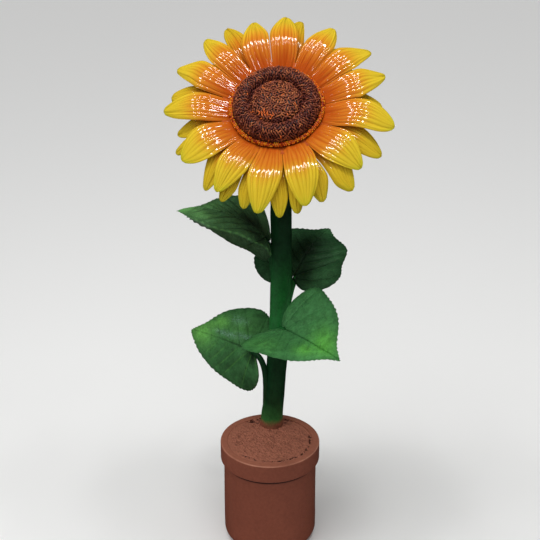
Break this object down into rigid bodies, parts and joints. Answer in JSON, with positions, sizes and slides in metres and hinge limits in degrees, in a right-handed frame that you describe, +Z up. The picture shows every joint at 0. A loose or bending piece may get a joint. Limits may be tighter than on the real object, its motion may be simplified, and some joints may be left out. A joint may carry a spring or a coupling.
{
  "type": "model sunflower in a pot",
  "caption": "Cast model of a sunflower: a green stem with heart-shaped leaves and a large tilted flower, rising from a round terracotta-coloured pot with a flat underside.",
  "frame": {"origin": "centre of the pot's flat underside, on the floor", "axes": "+Z up; the flower faces -Y, and +X is to the right of someone who looks at its face"},
  "size_m": [0.3795, 0.3622, 0.9414],
  "materials": {
    "pot": "matte",
    "soil": "matte",
    "stem": "satin",
    "leaf": "satin",
    "petal": "gloss",
    "seed_disc": "satin",
    "beads": "satin",
    "calyx": "satin"
  },
  "bodies": {
    "root": {"pot": "pot", "soil": "soil", "stem": "stem", "stalk_lower_right": "stem", "leaf_lower_right": "leaf", "stalk_lower_left": "stem", "leaf_lower_left": "leaf", "stalk_upper_right": "stem", "leaf_upper_right": "leaf", "stalk_upper_left": "stem", "leaf_upper_left": "leaf", "calyx": "calyx", "seed_disc": "seed_disc", "bead_ring": "beads", "petal_front_01": "petal", "petal_front_02": "petal", "petal_front_03": "petal", "petal_front_04": "petal", "petal_front_05": "petal", "petal_front_06": "petal", "petal_front_07": "petal", "petal_front_08": "petal", "petal_front_09": "petal", "petal_front_10": "petal", "petal_front_11": "petal", "petal_front_12": "petal", "petal_front_13": "petal", "petal_front_14": "petal", "petal_back_01": "petal", "petal_back_02": "petal", "petal_back_03": "petal", "petal_back_04": "petal", "petal_back_05": "petal", "petal_back_06": "petal", "petal_back_07": "petal", "petal_back_08": "petal", "petal_back_09": "petal", "petal_back_10": "petal", "petal_back_11": "petal", "petal_back_12": "petal", "petal_back_13": "petal", "petal_back_14": "petal", "petal_back_15": "petal", "petal_back_16": "petal", "petal_back_17": "petal"}
  },
  "joints": []
}
